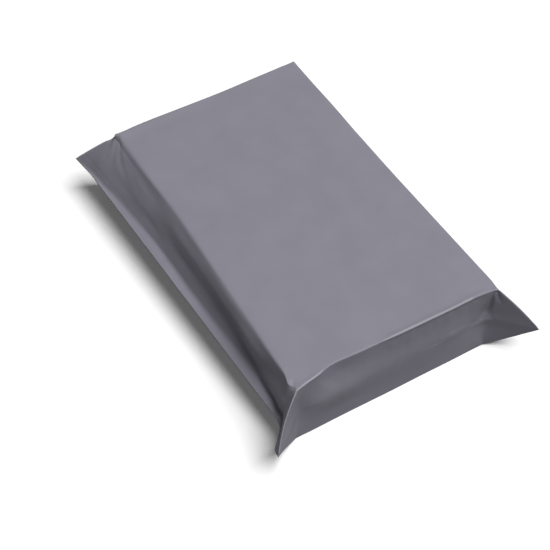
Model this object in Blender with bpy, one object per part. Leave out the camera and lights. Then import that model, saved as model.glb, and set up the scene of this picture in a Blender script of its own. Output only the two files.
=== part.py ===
"""A filled and sealed poly mailer bag: grey film wrapped round a flat rectangular pack.

The bag is two rectangular film panels, joined along both long sides by a welded seam and
continuous round both short ends. Over the contents each panel makes a flat face, a border that
folds down (or up) to mid-height, and a three-sided ear at every corner. The film of the far end
runs on as the closure flap, which is stuck down across the underside.

Frame: metres, +X across the short way, +Y along the long way, +Z up, and the origin at the
middle of the flat underside. Places on the film are given flat, as they lie before folding:
across and along from the middle of the panel.
"""

import math
from collections import namedtuple

import bmesh
import bpy
import numpy as np

MM = 0.001
UP = np.array([0.0, 0.0, 1.0])

LEFT, RIGHT = -1, 1
NEAR, FAR = -1, 1
UPPER, LOWER = 1, -1

# The pack of contents, as the film shows it
TOP_WIDTH = 0.175
TOP_LENGTH = 0.291
THICKNESS = 63.0

# Flat film beyond the top face: to the side seam, and to the middle fold of each end wall
SIDE_FILM = 0.042
END_FILM = 0.0315

# The side seam: two films welded face to face for the last stretch before the edge
WELD_WIDTH = 0.008
WELD_GAP = 0.0005

# The closure flap, stuck down across the underside of the far end: its reach past the edge, the
# step at its edge, and how far the film beside it takes to settle back
FLAP_REACH = 0.010
FLAP_STEP = 0.00035
FLAP_EDGE = 0.0006
FLAP_FADE = 0.025

# The grid that each panel is folded from: its cells across a border, drawn closer together at the
# seam and at the face's edge, and its cells across a face, growing from the edge inwards
BORDER_CELLS = 14
BORDER_EASING = 0.5
FACE_CELL_FIRST = 0.003
FACE_CELL_GROWTH = 1.32
FACE_CELL_LARGEST = 0.016
MERGE_DISTANCE = 1e-6

FILM_COLOUR = (0.262, 0.252, 0.295, 1.0)
FILM_ROUGHNESS = 0.42


def vec(x, y, z=0.0):
    """A point or a step given in millimetres."""
    return np.array([x, y, z]) * MM


# A corner of the bag: the corner of the top face, the corner of the underside, the ear's tip, the
# shoulder where the side seam leaves the long wall, the root where the end wall's middle fold runs
# into the ear, how far inwards along the film that root lies, how far the ridges of both panels
# bow from a straight line, and how far the ear's welded edge bows at a quarter, a half and three
# quarters of the way from tip to shoulder
Corner = namedtuple("Corner", "top base tip shoulder root root_inset bow weld_bow")
CORNERS = {
    (LEFT, FAR): Corner(
        top=vec(-87.2, 143.2, THICKNESS),
        base=vec(-89.5, 148.5),
        tip=vec(-122.2, 166.4, 31.5),
        shoulder=vec(-118.8, 139.4, 33.5),
        root=vec(-84.0, 146.5, 31.5),
        root_inset=0.003,
        bow=vec(0.0, 0.0, 1.3),
        weld_bow=(0.0, 0.0, 0.0),
    ),
    (RIGHT, FAR): Corner(
        top=vec(88.2, 149.8, THICKNESS),
        base=vec(90.5, 151.5),
        tip=vec(101.0, 170.0, 27.0),
        shoulder=vec(99.7, 141.0, 27.0),
        root=vec(84.0, 151.0, 31.5),
        root_inset=0.004,
        bow=vec(0.0, 0.0, 1.0),
        weld_bow=(0.0, 0.0, 0.0),
    ),
    (LEFT, NEAR): Corner(
        top=vec(-85.8, -147.2, THICKNESS),
        base=vec(-87.0, -150.0),
        tip=vec(-113.2, -169.3, 28.0),
        shoulder=vec(-98.5, -143.0, 27.0),
        root=vec(-83.0, -145.6, 31.5),
        root_inset=0.004,
        bow=vec(-2.6, 0.0, 2.0),
        weld_bow=(-2.8, -0.6, 1.4),
    ),
    (RIGHT, NEAR): Corner(
        top=vec(88.4, -147.2, THICKNESS),
        base=vec(83.0, -152.6),
        tip=vec(114.9, -175.3, 26.0),
        shoulder=vec(100.0, -147.0, 28.0),
        root=vec(80.6, -145.4, 31.5),
        root_inset=0.010,
        bow=vec(0.8, 0.0, 1.6),
        weld_bow=(0.0, 0.0, 0.0),
    ),
}

# How late the root line turns inwards on its way from the face's corner to the root
ROOT_TURN = 3

# The top face's edges between their corners: shift inwards, in millimetres, at places along each
# edge from -1 to 1
SIDE_EDGE_AT = (-1.0, -0.93, -0.6, -0.1, 0.25, 0.6, 1.0)
LEFT_EDGE_IN = (0.0, -1.0, 0.0, 1.5, 2.4, 0.4, 0.0)
RIGHT_EDGE_IN = (0.0, -0.7, 0.2, 1.2, 1.0, 0.7, 0.0)
END_EDGE_AT = (-1.0, -0.94, -0.75, -0.55, -0.1, 0.5, 0.92, 1.0)
NEAR_EDGE_IN = (0.0, 1.3, 3.8, 5.0, 3.8, 2.4, 1.3, 0.0)
FAR_EDGE_IN = (0.0, 0.1, 0.2, 0.3, 0.4, 0.2, 0.1, 0.0)

# How far the end walls swell beyond a flat wall at their middle fold, at places across
END_SWELL_AT = (-1.0, -0.86, -0.6, -0.3, 0.3, 0.8, 1.0)
NEAR_SWELL = (0.0, 1.8, 4.2, 2.0, 0.8, 0.6, 0.0)
FAR_SWELL = (0.0, 0.6, 1.2, 1.5, 1.3, 0.8, 0.0)

# How the upper film comes down a side wall, at stations along it: its lean out from the vertical,
# in degrees, at film depths under the top edge in millimetres, then the depth at which the flared
# seam begins, and the flare's own lean
LEAN_DEPTHS = (0.0, 2.0, 5.0, 9.0, 14.0, 20.0, 26.0, 31.0)
FLARE_TURN = 1.2
WALL_CURVE_STEPS = 169
Station = namedtuple("Station", "leans flare_depth flare_lean")
LEFT_WALL = {
    -0.143: Station((50, 34, 26, 24, 25, 20, -2, -12), 37.5, 76),
    -0.128: Station((40, 22, 16, 18, 23, 22, -1, -9), 35.8, 82),
    -0.100: Station((46, 36, 32, 28, 15, -4, -8, 20), 34.2, 80),
    -0.060: Station((60, 48, 33, 20, 5, 0, 18, 34), 34.0, 74),
    -0.020: Station((48, 37, 29, 26, 12, 11, 27, 34), 34.2, 74),
    0.015: Station((56, 44, 34, 38, 25, 14, 31, 33), 34.0, 78),
    0.045: Station((58, 48, 38, 39, 33, 32, 33, 38), 33.6, 78),
    0.075: Station((53, 43, 36, 43, 43, 39, 32, 37), 34.4, 77),
    0.105: Station((62, 50, 38, 43, 43, 37, 38, 37), 35.9, 80),
    0.130: Station((64, 48, 40, 44, 42, 41, 37, 33), 38.0, 74),
    0.143: Station((62, 48, 40, 45, 44, 42, 35, 28), 39.5, 56),
}
RIGHT_WALL = {
    -0.143: Station((62, 42, 30, 24, 20, 16, 14, 18), 37.0, 52),
    -0.095: Station((64, 48, 34, 22, 10, 6, 18, 30), 36.0, 66),
    -0.040: Station((70, 50, 36, 26, 12, 4, 14, 32), 34.0, 62),
    0.020: Station((66, 44, 30, 26, 24, 16, 10, 22), 35.0, 58),
    0.080: Station((68, 50, 38, 24, 8, 2, 16, 34), 35.0, 66),
    0.143: Station((62, 42, 30, 24, 22, 18, 14, 18), 37.0, 52),
}

# How far each side seam waves up from a straight line between its shoulders, in millimetres
SEAM_WAVE_AT = (-1.0, -0.55, -0.1, 0.4, 1.0)
SEAM_WAVE = {LEFT: (0.0, 0.0, 0.0, 0.0, 0.0), RIGHT: (0.0, -1.6, 1.2, -1.1, 0.0)}

# The folds of the upper film that fan out from the corners: places each runs through, in
# millimetres across and along the film, its half width at its start and its end, and its height
# outwards (a valley is negative)
Fold = namedtuple("Fold", "run width height")
FAN_FOLDS = (
    Fold([(-88.6, 144.6), (-95.0, 134.0), (-99.5, 122.0), (-107.0, 90.0)], (1.6, 2.9), -0.85),
    Fold([(-89.0, 145.2), (-101.0, 136.5), (-118.0, 128.0)], (1.6, 2.4), -0.40),
    Fold([(-88.4, 146.2), (-96.5, 145.5), (-107.0, 139.5)], (1.6, 2.0), 0.50),
    Fold([(-89.5, 146.0), (-90.4, 134.0), (-90.0, 103.0), (-89.5, 62.0)], (1.3, 1.3), -0.50),
    Fold([(86.6, -147.0), (84.6, -160.5), (80.2, -173.0), (73.5, -177.0)], (1.4, 2.0), -1.20),
    Fold([(88.6, -147.2), (91.2, -158.5), (92.5, -166.0)], (1.4, 1.6), -0.90),
    Fold([(-83.0, -135.0), (-88.0, -146.0)], (1.4, 1.4), -0.80),
    Fold([(88.5, -144.0), (96.5, -128.0), (103.0, -108.0)], (1.4, 2.4), -0.45),
    Fold([(88.5, 144.0), (95.0, 124.0), (99.0, 104.0)], (1.4, 2.4), -0.50),
    Fold([(86.8, 147.0), (82.0, 161.0), (79.0, 172.0)], (1.4, 1.9), -0.70),
    Fold([(-86.2, 147.0), (-80.5, 160.0), (-78.0, 171.0)], (1.4, 1.9), -0.75),
)
FOLD_RISE = 0.05
FOLD_FALL = 0.70

# The pinched crest of each ear, from the face's corner to the tip: its height by corner
CREST_HEIGHT = {(LEFT, FAR): 0.25, (RIGHT, FAR): 0.30, (LEFT, NEAR): 0.55, (RIGHT, NEAR): 0.30}
CREST_HALF_WIDTH = 0.6

# Places where the film is drawn round the pack softly: the root of each ear, and a stretch of the
# near short edge. How wide each softens, how strongly, and how many times; the root's line starts a
# step inside the face's corner, and the film beside the ear's ridge stays firm
ROOT_SOFTNESS, ROOT_PASSES, ROOT_WIDTH = 0.5, 3, 0.006
ROOT_STEP = 0.002
RIDGE_WIDTH = 0.005
EDGE_SOFTNESS, EDGE_PASSES, EDGE_WIDTH = 0.4, 3, 0.008
SOFT_EDGE_FROM, SOFT_EDGE_TO = -0.053, -0.024


def clear_scene():
    for item in list(bpy.data.objects):
        bpy.data.objects.remove(item, do_unlink=True)


def new_collection(name):
    group = bpy.data.collections.new(name)
    bpy.context.scene.collection.children.link(group)
    return group


def film_material():
    film = bpy.data.materials.new("grey_film")
    film.use_nodes = True
    shader = film.node_tree.nodes["Principled BSDF"]
    shader.inputs["Base Color"].default_value = FILM_COLOUR
    shader.inputs["Roughness"].default_value = FILM_ROUGHNESS
    shader.inputs["Metallic"].default_value = 0.0
    return film


def lerp(start, end, share):
    return start + (end - start) * share


def ease(share):
    """0 to 1 with a soft start and end."""
    share = np.clip(share, 0.0, 1.0)
    return share * share * (3.0 - 2.0 * share)


def bezier(start, handle_1, handle_2, end, share):
    rest = 1.0 - share
    return (
        start * rest**3
        + handle_1 * (3.0 * rest**2 * share)
        + handle_2 * (3.0 * rest * share**2)
        + end * share**3
    )


def smooth_curve(at, places, values):
    """A smooth curve through values given at places, read at one place."""
    places, values = np.asarray(places), np.asarray(values, float)
    slopes = np.gradient(values, places, axis=0)
    at = min(max(at, places[0]), places[-1])
    k = min(int(np.searchsorted(places, at, side="right")) - 1, len(places) - 2)
    width = places[k + 1] - places[k]
    u = (at - places[k]) / width
    return (
        values[k] * (1 + 2 * u) * (1 - u) ** 2
        + slopes[k] * width * u * (1 - u) ** 2
        + values[k + 1] * u**2 * (3 - 2 * u)
        + slopes[k + 1] * width * u**2 * (u - 1)
    )


def border_shares():
    """Shares of the border film from the seam, 0, to the face's edge, 1."""
    k = np.arange(BORDER_CELLS + 1) / BORDER_CELLS
    return k - BORDER_EASING * np.sin(2.0 * math.pi * k) / (2.0 * math.pi)


def face_places(half_face):
    """Places across a face, from -half_face to half_face."""
    steps, reach, cell = [0.0], 0.0, FACE_CELL_FIRST
    while reach + cell < half_face:
        reach += cell
        steps.append(reach)
        cell = min(cell * FACE_CELL_GROWTH, FACE_CELL_LARGEST)
    left = [step / (reach + cell) * half_face - half_face for step in steps]
    return [*left, 0.0, *(-place for place in reversed(left))]


# A line of the grid: whether it lies in the border before the face (-1), on the face (0) or in
# the border after it (1), its border share, its place on the face from -1 to 1, and its place on
# the flat film
Line = namedtuple("Line", "border share face film")


def film_lines(half_face, border_film, places):
    shares = border_shares()[:-1]
    outer = [half_face + border_film * (1.0 - share) for share in shares]
    before = [Line(-1, share, -1.0, -film) for share, film in zip(shares, outer)]
    face = [Line(0, 1.0, place / half_face, place) for place in places]
    after = [Line(1, share, 1.0, film) for share, film in zip(shares, outer)]
    return [*before, *face, *reversed(after)]


def film_columns():
    """The grid lines that run the long way."""
    return film_lines(TOP_WIDTH / 2, SIDE_FILM, face_places(TOP_WIDTH / 2))


def film_rows():
    """The grid lines that run the short way, with two more for the flap's edge."""
    flap_edge = TOP_LENGTH / 2 - FLAP_REACH
    places = sorted([*face_places(TOP_LENGTH / 2), flap_edge, flap_edge - FLAP_EDGE])
    return film_lines(TOP_LENGTH / 2, END_FILM, places)


def face_corner(panel, side, end):
    return CORNERS[side, end].top if panel == UPPER else CORNERS[side, end].base


def face_point(panel, across, along):
    """A point of the flat face: across and along run from -1 to 1 between its edges."""
    u, v = (across + 1.0) / 2.0, (along + 1.0) / 2.0
    near = lerp(face_corner(panel, LEFT, NEAR), face_corner(panel, RIGHT, NEAR), u)
    far = lerp(face_corner(panel, LEFT, FAR), face_corner(panel, RIGHT, FAR), u)
    point = lerp(near, far, v)
    if panel == LOWER:
        return point
    left_in = smooth_curve(along, SIDE_EDGE_AT, LEFT_EDGE_IN) * MM
    right_in = smooth_curve(along, SIDE_EDGE_AT, RIGHT_EDGE_IN) * MM
    near_in = smooth_curve(across, END_EDGE_AT, NEAR_EDGE_IN) * MM
    far_in = smooth_curve(across, END_EDGE_AT, FAR_EDGE_IN) * MM
    point[0] += left_in * (1.0 - u) - right_in * u
    point[1] += near_in * (1.0 - v) ** 3 - far_in * v**3
    return point


def seam_point(side, along):
    """The side seam's edge beside the long wall, from one shoulder to the other."""
    near, far = CORNERS[side, NEAR].shoulder, CORNERS[side, FAR].shoulder
    wave = smooth_curve(along, SEAM_WAVE_AT, SEAM_WAVE[side]) * MM
    return lerp(near, far, (along + 1.0) / 2.0) + UP * wave


def wall_station(side, along):
    """How a side wall comes down at any place along it, in metres from the middle."""
    wall = LEFT_WALL if side == LEFT else RIGHT_WALL
    places = sorted(wall)
    rows = [(*wall[y].leans, wall[y].flare_depth, wall[y].flare_lean) for y in places]
    *leans, flare_depth, flare_lean = smooth_curve(along, places, rows)
    return Station(leans, flare_depth, flare_lean)


def upper_wall_curve(station, edge, seam):
    """The upper film from the top edge out to the seam, as fine film depths and their points: it
    follows the wall's lean at each depth, and is then drawn evenly onto the seam."""
    flare = station.flare_depth
    turns = np.array([*LEAN_DEPTHS, flare - FLARE_TURN, flare + FLARE_TURN]) * MM
    depths = np.linspace(0.0, SIDE_FILM, WALL_CURVE_STEPS)
    lean = np.radians(np.interp(depths, turns, [*station.leans, station.leans[-1], station.flare_lean]))
    step = depths[1]
    out = np.concatenate([[0.0], np.cumsum((np.sin(lean[1:]) + np.sin(lean[:-1])) / 2 * step)])
    down = np.concatenate([[0.0], np.cumsum((np.cos(lean[1:]) + np.cos(lean[:-1])) / 2 * step)])
    outward = (seam - edge) * (1.0, 1.0, 0.0)
    reach = np.linalg.norm(outward)
    share = depths / SIDE_FILM
    out += share * (reach - out[-1])
    down += share * (edge[2] - seam[2] - down[-1])
    return depths, edge + np.outer(out, outward / reach) - np.outer(down, UP)


def read_curve(depths, points, depth):
    return np.array([np.interp(depth, depths, points[:, axis]) for axis in range(3)])


def side_wall_point(panel, side, along, share):
    """Film beside the long wall, from the seam (share 0) to the face's edge (share 1). Under the
    seam the lower film is welded to the upper one, and then turns down and in to its own edge."""
    upper_edge = face_point(UPPER, side, along)
    station = wall_station(side, upper_edge[1])
    depths, points = upper_wall_curve(station, upper_edge, seam_point(side, along))
    depth = SIDE_FILM * (1.0 - share)
    if panel == UPPER:
        return read_curve(depths, points, depth)
    welded = max(SIDE_FILM - WELD_WIDTH, (station.flare_depth + FLARE_TURN) * MM)
    if depth >= welded:
        gap = WELD_GAP * (SIDE_FILM - depth) / (SIDE_FILM - welded)
        return read_curve(depths, points, depth) - UP * gap
    start = read_curve(depths, points, welded) - UP * WELD_GAP
    lower_edge = face_point(LOWER, side, along)
    rise = start[2] - lower_edge[2]
    handle_1 = start + (start - points[-1]) * 0.9
    handle_2 = lower_edge + np.array([side * 0.12, 0.0, 0.55]) * rise
    return bezier(start, handle_1, handle_2, lower_edge, 1.0 - depth / welded)


def ridge_point(panel, side, end, share):
    """The ear's ridge, from its tip (share 0) to the face's corner (share 1)."""
    corner = CORNERS[side, end]
    start, finish = corner.tip, face_corner(panel, side, end)
    pull = corner.bow * (1.0, 1.0, panel) * 4.0 / 3.0
    return bezier(start, lerp(start, finish, 1 / 3) + pull, lerp(start, finish, 2 / 3) + pull, finish, share)


def root_film(side, end, depth):
    """Place across the film at which the end wall passes into the ear, at a share of its depth."""
    return side * (TOP_WIDTH / 2 - CORNERS[side, end].root_inset * depth**ROOT_TURN)


def end_wall_point(panel, end, across, depth):
    """The end wall, from the face's edge (depth 0) to its middle fold (depth 1)."""
    upper, lower = face_point(UPPER, across, end), face_point(LOWER, across, end)
    first, last = (upper, lower) if panel == UPPER else (lower, upper)
    point = lerp(first, last, 0.5 * depth)
    fold = lerp(CORNERS[LEFT, end].root, CORNERS[RIGHT, end].root, (across + 1.0) / 2.0)
    straight = lerp(upper, lower, 0.5)
    swell = smooth_curve(across, END_SWELL_AT, NEAR_SWELL if end == NEAR else FAR_SWELL) * MM
    point[0] += (fold[0] - straight[0]) * depth
    point[1] += ((fold[1] - straight[1]) * across**6 + end * swell) * ease(depth)
    return point


def end_point(panel, end, film, share):
    """Film beyond the short edge: the end wall, and past its roots the ears up to their ridges."""
    depth = 1.0 - share
    left, right = root_film(LEFT, end, depth), root_film(RIGHT, end, depth)
    across = lerp(-1.0, 1.0, np.clip((film - left) / (right - left), 0.0, 1.0))
    point = end_wall_point(panel, end, across, depth)
    side = LEFT if film < 0.0 else RIGHT
    root = root_film(side, end, depth)
    ridge = side * (TOP_WIDTH / 2 + SIDE_FILM * depth)
    turned = np.clip((film - root) / (ridge - root), 0.0, 1.0) if depth > 0.0 else 0.0
    return lerp(point, ridge_point(panel, side, end, share), turned)


def ear_side_point(panel, side, end, from_seam, from_end):
    """The ear's film beyond its ridge, fanned from the ridge to the side wall's last line."""
    crest = ridge_point(panel, side, end, from_seam)
    wall = side_wall_point(panel, side, end, from_seam)
    turned = 1.0 - (1.0 - from_end) / (1.0 - from_seam)
    point = lerp(crest, wall, turned)
    bow = smooth_curve(turned, (0.0, 0.25, 0.5, 0.75, 1.0), (0.0, *CORNERS[side, end].weld_bow, 0.0))
    point[0] += bow * MM * (1.0 - from_seam) ** 3
    return point


def film_point(panel, column, row):
    """Folds one crossing of the panel's grid lines into place."""
    if column.border == 0 and row.border == 0:
        return face_point(panel, column.face, row.face)
    if row.border == 0:
        return side_wall_point(panel, column.border, row.face, column.share)
    if column.border == 0 or column.share >= row.share:
        return end_point(panel, row.border, column.film, row.share)
    return ear_side_point(panel, column.border, row.border, column.share, row.share)


def lay_panel(mesh, panel, columns, rows):
    """Lays one panel as a flat grid and folds it round the pack. The cells under each ear's ridge
    are cut along the ridge."""
    before = set(mesh.verts)
    bmesh.ops.create_grid(mesh, x_segments=len(columns) - 1, y_segments=len(rows) - 1, size=1.0)
    layers = [mesh.verts.layers.float[name] for name in ("film_across", "film_along", "panel")]
    crossings = {}
    for vert in [v for v in mesh.verts if v not in before]:
        i = round((vert.co.x + 1.0) / 2.0 * (len(columns) - 1))
        j = round((vert.co.y + 1.0) / 2.0 * (len(rows) - 1))
        crossings[i, j] = vert
    for (i, j), vert in crossings.items():
        vert.co = film_point(panel, columns[i], rows[j])
        for layer, value in zip(layers, (columns[i].film, rows[j].film, panel)):
            vert[layer] = value
    for i, step_i in ((0, 1), (len(columns) - 1, -1)):
        for j, step_j in ((0, 1), (len(rows) - 1, -1)):
            ridge = [crossings[i + k * step_i, j + k * step_j] for k in range(BORDER_CELLS + 1)]
            for outer, inner in zip(ridge, ridge[1:]):
                (cell,) = set(outer.link_faces) & set(inner.link_faces)
                bmesh.utils.face_split(cell, outer, inner)


def near_line(place, start, end, width):
    """1 on a line in the film, falling away to 0 beyond its width."""
    step = np.subtract(end, start)
    share = np.clip(np.subtract(place, start).dot(step) / step.dot(step), 0.0, 1.0)
    away = math.dist(place, lerp(np.array(start), np.array(end), share))
    return math.exp(-((away / width) ** 2))


def near_roots(place):
    """1 along the line where each end wall passes softly into an ear, short of the ear's ridge."""
    soft = 0.0
    for side, end in CORNERS:
        corner = side * TOP_WIDTH / 2, end * TOP_LENGTH / 2
        tip = side * (TOP_WIDTH / 2 + SIDE_FILM), end * (TOP_LENGTH / 2 + END_FILM)
        start = corner[0] - side * ROOT_STEP, corner[1] + end * ROOT_WIDTH
        root = root_film(side, end, 1.0), tip[1]
        on_root = near_line(place, start, root, ROOT_WIDTH)
        soft = max(soft, on_root * (1.0 - near_line(place, corner, tip, RIDGE_WIDTH)))
    return soft


def near_soft_edge(place):
    """1 along the stretch of the near edge over which the film is drawn softly."""
    edge = NEAR * TOP_LENGTH / 2
    return near_line(place, (SOFT_EDGE_FROM, edge), (SOFT_EDGE_TO, edge), EDGE_WIDTH)


def relax(mesh, weights, passes):
    """Moves each point towards the middle of its neighbours, by its weight, a number of times."""
    moving = [(vert, weight) for vert, weight in weights.items() if weight > 0.01]
    for _ in range(passes):
        moved = []
        for vert, weight in moving:
            around = [edge.other_vert(vert).co for edge in vert.link_edges]
            moved.append(vert.co.lerp(sum(around[1:], around[0]) / len(around), weight))
        for (vert, _), place in zip(moving, moved):
            vert.co = place


def fold_height(fold, place):
    """Height that a fold gives the film at a place in millimetres."""
    run = np.array(fold.run)
    lengths = np.hypot(*np.diff(run, axis=0).T)
    reached = np.concatenate([[0.0], np.cumsum(lengths)])
    nearest, share = math.inf, 0.0
    for k, length in enumerate(lengths):
        step = (run[k + 1] - run[k]) / length
        ahead = np.clip((place - run[k]).dot(step), 0.0, length)
        away = math.dist(place, run[k] + ahead * step)
        if away < nearest:
            nearest, share = away, (reached[k] + ahead) / reached[-1]
    width = lerp(*fold.width, share)
    strength = ease(share / FOLD_RISE) * ease((1.0 - share) / FOLD_FALL)
    return fold.height * strength * math.exp(-0.5 * (nearest / width) ** 2)


def crest_folds():
    """The line of each ear's crest, as a fold."""
    for (side, end), height in CREST_HEIGHT.items():
        start = side * TOP_WIDTH / 2 / MM, end * TOP_LENGTH / 2 / MM
        tip = side * (TOP_WIDTH / 2 + SIDE_FILM) / MM, end * (TOP_LENGTH / 2 + END_FILM) / MM
        yield Fold([start, tip], (CREST_HALF_WIDTH, CREST_HALF_WIDTH), height)


def underside_lift(along):
    """The film lifts by the flap's thickness where it comes out from under the flap's edge, and
    then settles back."""
    bare = TOP_LENGTH / 2 - FLAP_REACH - along
    return FLAP_STEP * ease(bare / FLAP_EDGE) * (1.0 - ease(bare / FLAP_FADE))


def shape_film(mesh):
    """Softens the drawn places of the folded film, raises its folds, and seats the underside."""
    layers = [mesh.verts.layers.float[name] for name in ("film_across", "film_along", "panel")]
    film = {vert: tuple(vert[layer] for layer in layers) for vert in mesh.verts}
    seam = TOP_WIDTH / 2 + SIDE_FILM - MERGE_DISTANCE
    loose = {vert: abs(across) < seam for vert, (across, _, _) in film.items()}
    roots = {v: ROOT_SOFTNESS * near_roots(place[:2]) * loose[v] for v, place in film.items()}
    relax(mesh, roots, ROOT_PASSES)
    edge = {v: EDGE_SOFTNESS * near_soft_edge(place[:2]) for v, place in film.items()}
    relax(mesh, edge, EDGE_PASSES)
    mesh.normal_update()
    folds = [*FAN_FOLDS, *crest_folds()]
    for vert, (across, along, panel) in film.items():
        if panel == UPPER:
            place = np.array([across, along]) / MM
            vert.co += vert.normal * sum(fold_height(fold, place) for fold in folds) * MM
        elif abs(across) < TOP_WIDTH / 2:
            vert.co.z += underside_lift(along)
        vert.co.z = max(vert.co.z, 0.0)


def build_bag(group):
    mesh = bmesh.new()
    for name in ("film_across", "film_along", "panel"):
        mesh.verts.layers.float.new(name)
    columns, rows = film_columns(), film_rows()
    for panel in (UPPER, LOWER):
        lay_panel(mesh, panel, columns, rows)
    bmesh.ops.remove_doubles(mesh, verts=mesh.verts, dist=MERGE_DISTANCE)
    bmesh.ops.recalc_face_normals(mesh, faces=mesh.faces)
    shape_film(mesh)
    data = bpy.data.meshes.new("mailer_bag")
    mesh.to_mesh(data)
    mesh.free()
    data.materials.append(film_material())
    data.shade_smooth()
    bag = bpy.data.objects.new("mailer_bag", data)
    group.objects.link(bag)
    return bag


def main():
    clear_scene()
    build_bag(new_collection("poly_mailer_bag"))


main()
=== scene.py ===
import math
from collections import namedtuple

import bmesh
import bpy
import numpy as np
from mathutils import Matrix, Vector, noise


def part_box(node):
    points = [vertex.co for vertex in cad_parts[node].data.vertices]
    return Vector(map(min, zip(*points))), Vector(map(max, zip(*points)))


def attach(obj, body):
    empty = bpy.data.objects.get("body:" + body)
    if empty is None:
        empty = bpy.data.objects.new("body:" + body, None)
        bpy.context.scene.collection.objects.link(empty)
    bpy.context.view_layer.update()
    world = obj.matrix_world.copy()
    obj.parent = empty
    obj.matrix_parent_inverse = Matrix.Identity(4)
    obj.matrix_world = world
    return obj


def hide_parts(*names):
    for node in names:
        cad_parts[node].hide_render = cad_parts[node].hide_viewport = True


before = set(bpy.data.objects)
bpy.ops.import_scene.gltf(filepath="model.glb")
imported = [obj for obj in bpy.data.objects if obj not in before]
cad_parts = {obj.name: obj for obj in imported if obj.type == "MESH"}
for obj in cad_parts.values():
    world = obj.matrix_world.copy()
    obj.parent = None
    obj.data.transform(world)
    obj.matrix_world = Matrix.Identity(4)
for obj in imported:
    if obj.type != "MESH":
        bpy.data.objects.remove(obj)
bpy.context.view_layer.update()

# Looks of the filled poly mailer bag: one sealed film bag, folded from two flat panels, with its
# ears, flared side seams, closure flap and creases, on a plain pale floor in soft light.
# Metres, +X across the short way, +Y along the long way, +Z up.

MM = 0.001

bag_low, bag_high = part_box("mailer_bag")

# The pack of contents under the film
TOP_WIDTH = 0.175
TOP_LENGTH = 0.291
THICKNESS = bag_high.z - bag_low.z

# Flat film beyond the top face: to the side seam, and to the middle fold of each end wall
SIDE_FILM = 0.042
END_FILM = 0.0315

# Film distances from the middle of a panel: the face's edges, the side seam and the middle fold
HALF_WIDTH = TOP_WIDTH / 2
HALF_LENGTH = TOP_LENGTH / 2
SEAM_AT = HALF_WIDTH + SIDE_FILM
FOLD_AT = HALF_LENGTH + END_FILM

# Heights of the top face's corners and of the roots of the ears, in millimetres
TOP_HEIGHT = THICKNESS / MM
ROOT_HEIGHT = TOP_HEIGHT / 2

# Film grid: cells across each border, and the size of the face's cells from its edges inwards
BORDER_CELLS = 44
BORDER_EASING = 0.5
FACE_CELL_FIRST = 0.0006
FACE_CELL_LARGEST = 0.0026
FACE_CELL_GROWTH = 1.16
# Points of the film closer than this are one point, as along the seams
SAME_PLACE = 1e-6

# UV map of the film's web, laid flat, and the length that its unit square spans
FILM_WEB = "film_web"
WEB_SPAN = 0.72

LEFT, RIGHT = -1, 1
NEAR, FAR = -1, 1
UPPER, LOWER = 1, -1
UP = np.array([0.0, 0.0, 1.0])


def vec(x, y, z=0.0):
    """A point or a step given in millimetres."""
    return np.array([x, y, z]) * MM


# A corner of the bag: the corner of the top face, the corner of the underside, the ear's tip, the shoulder
# where the side seam leaves the long wall, the root where the end wall's middle fold runs into the ear, how
# far inwards along the film that root lies, how far the ridges of both panels bow from a straight line, and
# how far the ear's welded edge bows at a quarter, a half and three quarters of the way from tip to shoulder
Corner = namedtuple("Corner", "top base tip shoulder root root_inset bow weld_bow")
CORNERS = {
    (LEFT, FAR): Corner(
        top=vec(-87.2, 143.2, TOP_HEIGHT), base=vec(-89.5, 148.5),
        tip=vec(-122.2, 166.4, 31.5), shoulder=vec(-118.8, 139.4, 33.5),
        root=vec(-84.0, 146.5, ROOT_HEIGHT), root_inset=0.003,
        bow=vec(0.0, 0.0, 1.3), weld_bow=(0.0, 0.0, 0.0),
    ),
    (RIGHT, FAR): Corner(
        top=vec(88.2, 149.8, TOP_HEIGHT), base=vec(90.5, 151.5),
        tip=vec(101.0, 170.0, 27.0), shoulder=vec(99.7, 141.0, 27.0),
        root=vec(84.0, 151.0, ROOT_HEIGHT), root_inset=0.004,
        bow=vec(0.0, 0.0, 1.0), weld_bow=(0.0, 0.0, 0.0),
    ),
    (LEFT, NEAR): Corner(
        top=vec(-85.8, -147.2, TOP_HEIGHT), base=vec(-87.0, -150.0),
        tip=vec(-113.2, -169.3, 28.0), shoulder=vec(-98.5, -143.0, 27.0),
        root=vec(-83.0, -145.6, ROOT_HEIGHT), root_inset=0.004,
        bow=vec(-2.6, 0.0, 2.0), weld_bow=(-2.8, -0.6, 1.4),
    ),
    (RIGHT, NEAR): Corner(
        top=vec(88.4, -147.2, TOP_HEIGHT), base=vec(83.0, -152.6),
        tip=vec(114.9, -175.3, 26.0), shoulder=vec(100.0, -147.0, 28.0),
        root=vec(80.6, -145.4, ROOT_HEIGHT), root_inset=0.010,
        bow=vec(0.8, 0.0, 1.6), weld_bow=(0.0, 0.0, 0.0),
    ),
}

# Where along the ear's welded edge its bow is given, and how fast the bow fades from the edge inwards
WELD_BOW_AT = (0.0, 0.25, 0.5, 0.75, 1.0)
WELD_BOW_FADE = 3

# How late the root line turns inwards on its way from the face's corner to the root
ROOT_TURN = 3
# How closely to the roots the end wall's middle fold is drawn in towards them
ROOT_DRAW = 4

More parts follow.
